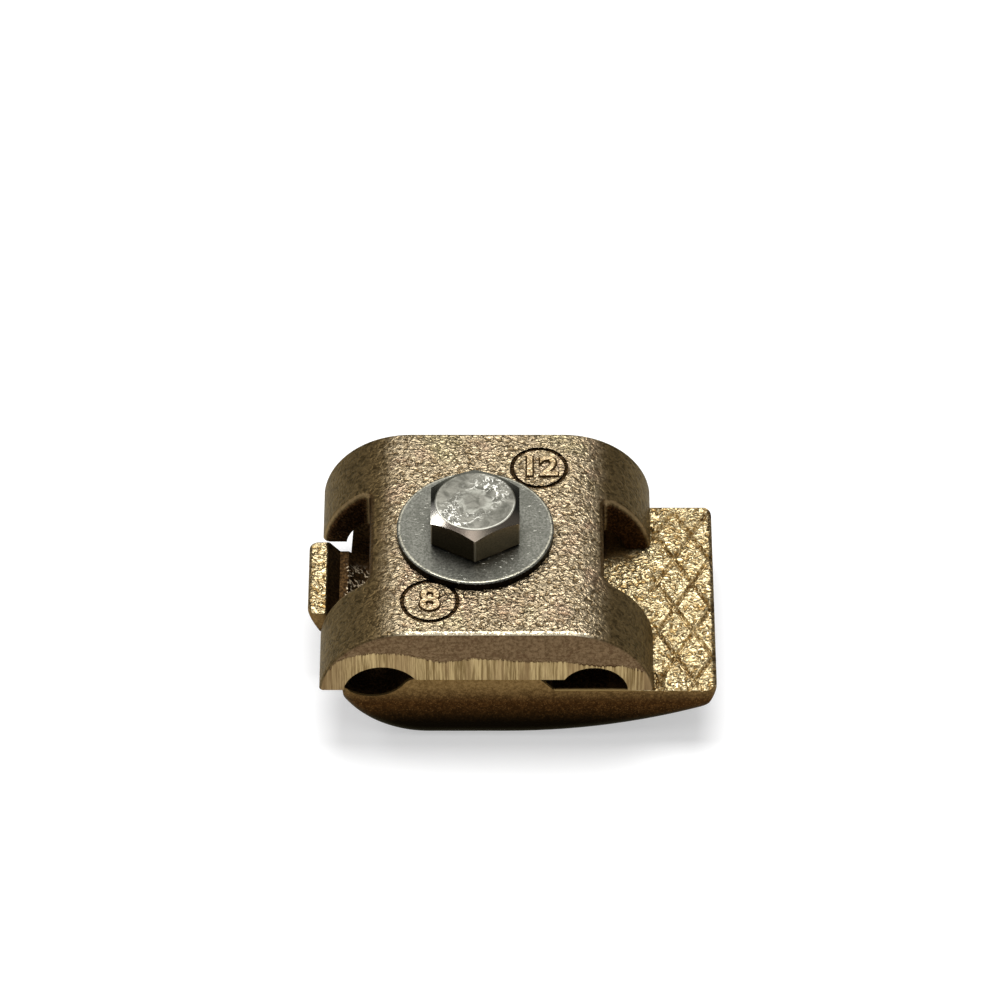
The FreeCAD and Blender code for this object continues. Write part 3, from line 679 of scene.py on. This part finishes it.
raised = numeral_bronze()
painted_shadow = shadow_sheet_bronze()
for number, (text, size, place) in enumerate(NUMERALS):
    # A wider, thin dark sheet under each numeral as painted shadow
    numeral(f"numeral_hollow_{number}", text, size, place, widen=0.4, thickness=0.02, material=painted_shadow)
    numeral(f"numeral_{number}", text, size, place, widen=0.1, thickness=0.3, material=raised)

FLOOR_HALF = 3.0
FLOOR_PALE = (0.8, 0.8, 0.8, 1)
FLOOR_SEEN = (0.63, 0.63, 0.63, 1)
FLOOR_GLOW = 0.42


# Floor: white where the camera, a mirror or glass sees it, with the object's shadow kept
def floor_material():
    material = bpy.data.materials.new("floor_white")
    material.use_nodes = True
    tree = material.node_tree
    tree.nodes.clear()
    output = tree.nodes.new("ShaderNodeOutputMaterial")
    rays = tree.nodes.new("ShaderNodeLightPath")
    seen = tree.nodes.new("ShaderNodeMath")
    seen.operation = "MAXIMUM"
    tree.links.new(rays.outputs["Is Camera Ray"], seen.inputs[0])
    tree.links.new(rays.outputs["Is Glossy Ray"], seen.inputs[1])
    through = tree.nodes.new("ShaderNodeMath")
    through.operation = "MAXIMUM"
    tree.links.new(seen.outputs[0], through.inputs[0])
    tree.links.new(rays.outputs["Is Transmission Ray"], through.inputs[1])
    plain = tree.nodes.new("ShaderNodeBsdfDiffuse")
    plain.inputs["Color"].default_value = FLOOR_PALE
    soft = tree.nodes.new("ShaderNodeBsdfDiffuse")
    soft.inputs["Color"].default_value = FLOOR_SEEN
    glow = tree.nodes.new("ShaderNodeEmission")
    glow.inputs["Strength"].default_value = FLOOR_GLOW
    both = tree.nodes.new("ShaderNodeAddShader")
    tree.links.new(soft.outputs[0], both.inputs[0])
    tree.links.new(glow.outputs[0], both.inputs[1])
    choice = tree.nodes.new("ShaderNodeMixShader")
    tree.links.new(through.outputs[0], choice.inputs[0])
    tree.links.new(plain.outputs[0], choice.inputs[1])
    tree.links.new(both.outputs[0], choice.inputs[2])
    tree.links.new(choice.outputs[0], output.inputs["Surface"])
    return material


floor_corners = [(-FLOOR_HALF, -FLOOR_HALF, 0), (FLOOR_HALF, -FLOOR_HALF, 0),
                 (FLOOR_HALF, FLOOR_HALF, 0), (-FLOOR_HALF, FLOOR_HALF, 0)]
floor_mesh = bpy.data.meshes.new("floor")
floor_mesh.from_pydata(floor_corners, [], [(0, 1, 2, 3)])
floor_mesh.materials.append(floor_material())
floor = bpy.data.objects.new("floor", floor_mesh)
bpy.context.scene.collection.objects.link(floor)

LAMP_TARGET = Vector((0, 0, 0.02))
STUDIO_LIGHT = 0.2


# Light: soft windows that all face the clamp, and dim light all round
def softbox(name, place, width, height, watts):
    light = bpy.data.lights.new(name, "AREA")
    light.shape = "RECTANGLE"
    light.size = width
    light.size_y = height
    light.energy = watts
    lamp = bpy.data.objects.new(name, light)
    lamp.location = place
    lamp.rotation_euler = (Vector(place) - LAMP_TARGET).to_track_quat("Z", "Y").to_euler()
    bpy.context.scene.collection.objects.link(lamp)


softbox("window_rear", (0.0, 0.8, 0.8), width=1.0, height=0.7, watts=2.6)
softbox("window_top", (0.0, 0.28, 1.2), width=0.8, height=0.5, watts=13.0)
softbox("window_low", (0.0, -1.1, 0.62), width=1.2, height=0.6, watts=2.5)
softbox("window_low_left", (-1.15, -0.1, 0.6), width=0.9, height=0.6, watts=1.6)
softbox("window_low_right", (1.15, -0.1, 0.6), width=0.9, height=0.6, watts=1.6)
softbox("window_left", (-0.8, 0.29, 0.85), width=0.25, height=0.25, watts=2.0)
softbox("window_front", (0.0, -0.35, 1.15), width=0.5, height=0.4, watts=1.1)

world = bpy.data.worlds.new("studio")
world.use_nodes = True
background = world.node_tree.nodes["Background"]
background.inputs["Color"].default_value = (1, 1, 1, 1)
background.inputs["Strength"].default_value = STUDIO_LIGHT
bpy.context.scene.world = world
bpy.context.scene.view_settings.view_transform = "Standard"

# Camera of the photograph: a long lens looking down at 45 degrees
CAMERA_PLACE = (0.0040, -0.7110, 0.7431)
CAMERA_TILT = math.radians(45)
lens = bpy.data.cameras.new("camera")
lens.sensor_width = 36
lens.lens = 225
lens.clip_start = 0.05
camera = bpy.data.objects.new("camera", lens)
camera.location = CAMERA_PLACE
camera.rotation_euler = (CAMERA_TILT, 0, 0)
bpy.context.scene.collection.objects.link(camera)
bpy.context.scene.camera = camera
